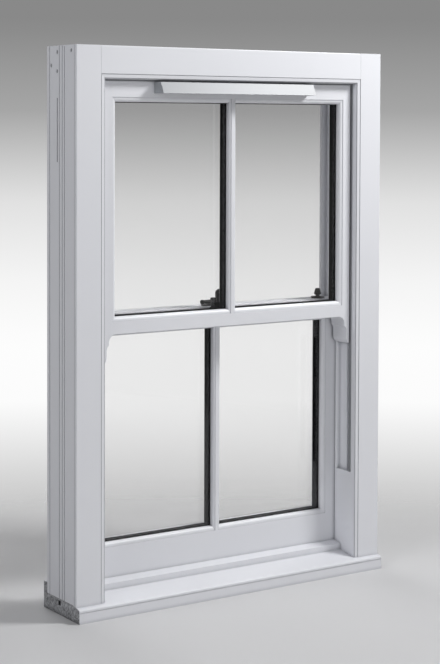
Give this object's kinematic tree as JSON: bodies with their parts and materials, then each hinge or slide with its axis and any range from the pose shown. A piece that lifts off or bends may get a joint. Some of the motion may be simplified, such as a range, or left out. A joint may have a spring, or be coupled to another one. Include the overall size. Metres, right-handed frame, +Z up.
{
  "type": "sash window",
  "caption": "White painted timber sliding sash window in its box frame, glazing bars, horns, sealed glass, trickle vent canopy and dark bronze fastener.",
  "frame": {"origin": "underside of the sill, at the middle of the width, in the plane of the outer linings' face", "axes": "+Z up, -Y out of the outside face, +Y into the room, +X to the right seen from outside"},
  "size_m": [0.9, 0.187, 1.343],
  "materials": {
    "painted_timber": "factory-sprayed satin white paint on timber",
    "glass": "clear float glass",
    "spacer": "black warm-edge spacer bar",
    "black_gasket": "black glazing seal",
    "pile_seal": "grey brush pile",
    "bronze": "dark bronze finish, polished on the edges",
    "white_metal": "white powder coat",
    "white_plastic": "white moulded plastic",
    "screw_steel": "zinc-plated steel"
  },
  "bodies": {
    "frame": {"sill": "painted_timber", "outer_lining_left": "painted_timber", "outer_lining_right": "painted_timber", "outer_lining_head": "painted_timber", "jamb_left": "painted_timber", "jamb_right": "painted_timber", "head": "painted_timber", "box_back_left": "painted_timber", "box_back_right": "painted_timber", "inner_lining_left": "painted_timber", "inner_lining_right": "painted_timber", "inner_lining_head": "painted_timber", "parting_bead_left": "painted_timber", "parting_bead_right": "painted_timber", "parting_bead_head": "painted_timber", "staff_bead_left": "painted_timber", "staff_bead_right": "painted_timber", "staff_bead_head": "painted_timber", "travel_stop_left": "painted_timber", "travel_stop_right": "painted_timber", "frame_seals": "pile_seal", "upper_balance_tubes": "white_plastic", "lower_balance_tubes": "white_plastic", "frame_screws": "screw_steel"},
    "upper_sash": {"upper_top_rail": "painted_timber", "upper_meeting_rail": "painted_timber", "upper_stile_left": "painted_timber", "upper_stile_right": "painted_timber", "upper_bar": "painted_timber", "upper_glass_left": "glass", "upper_glass_right": "glass", "upper_spacer_left": "spacer", "upper_spacer_right": "spacer", "upper_gaskets": "black_gasket", "upper_beads": "painted_timber", "upper_balance_rods": "screw_steel", "vent_canopy": "white_metal", "vent_grille": "white_plastic", "fastener_keep": "bronze"},
    "vent_slider": {"vent_slider": "white_plastic"},
    "lower_sash": {"lower_meeting_rail": "painted_timber", "lower_bottom_rail": "painted_timber", "lower_stile_left": "painted_timber", "lower_stile_right": "painted_timber", "lower_bar": "painted_timber", "lower_glass_left": "glass", "lower_glass_right": "glass", "lower_spacer_left": "spacer", "lower_spacer_right": "spacer", "lower_gaskets": "black_gasket", "lower_beads": "painted_timber", "lower_balance_rods": "screw_steel", "meeting_seal": "pile_seal", "sash_lifts": "bronze", "fastener_base": "bronze", "acorn_roses": "bronze"},
    "fastener_lever": {"fastener_lever": "bronze"},
    "acorn_left": {"acorn_left": "bronze"},
    "acorn_right": {"acorn_right": "bronze"}
  },
  "joints": [
    {"name": "upper_sash_slide", "type": "slide", "parent": "frame", "child": "upper_sash", "axis": [0, 0, -1], "range_m": [0, 0.334]},
    {"name": "lower_sash_slide", "type": "slide", "parent": "frame", "child": "lower_sash", "axis": [0, 0, 1], "range_m": [0, 0.5]},
    {"name": "vent_slide", "type": "slide", "parent": "upper_sash", "child": "vent_slider", "axis": [1, 0, 0], "range_m": [0, 0.025]},
    {"name": "fastener_turn", "type": "hinge", "parent": "lower_sash", "child": "fastener_lever", "pos_m": [0.001, 0.109, 0.709], "axis": [0, 0, -1], "range_deg": [0, 120]},
    {"name": "acorn_left_turn", "type": "hinge", "parent": "lower_sash", "child": "acorn_left", "pos_m": [-0.328, 0.109, 0.706], "axis": [0, 0, 1], "continuous": true},
    {"name": "acorn_right_turn", "type": "hinge", "parent": "lower_sash", "child": "acorn_right", "pos_m": [0.328, 0.109, 0.706], "axis": [0, 0, 1], "continuous": true}
  ]
}
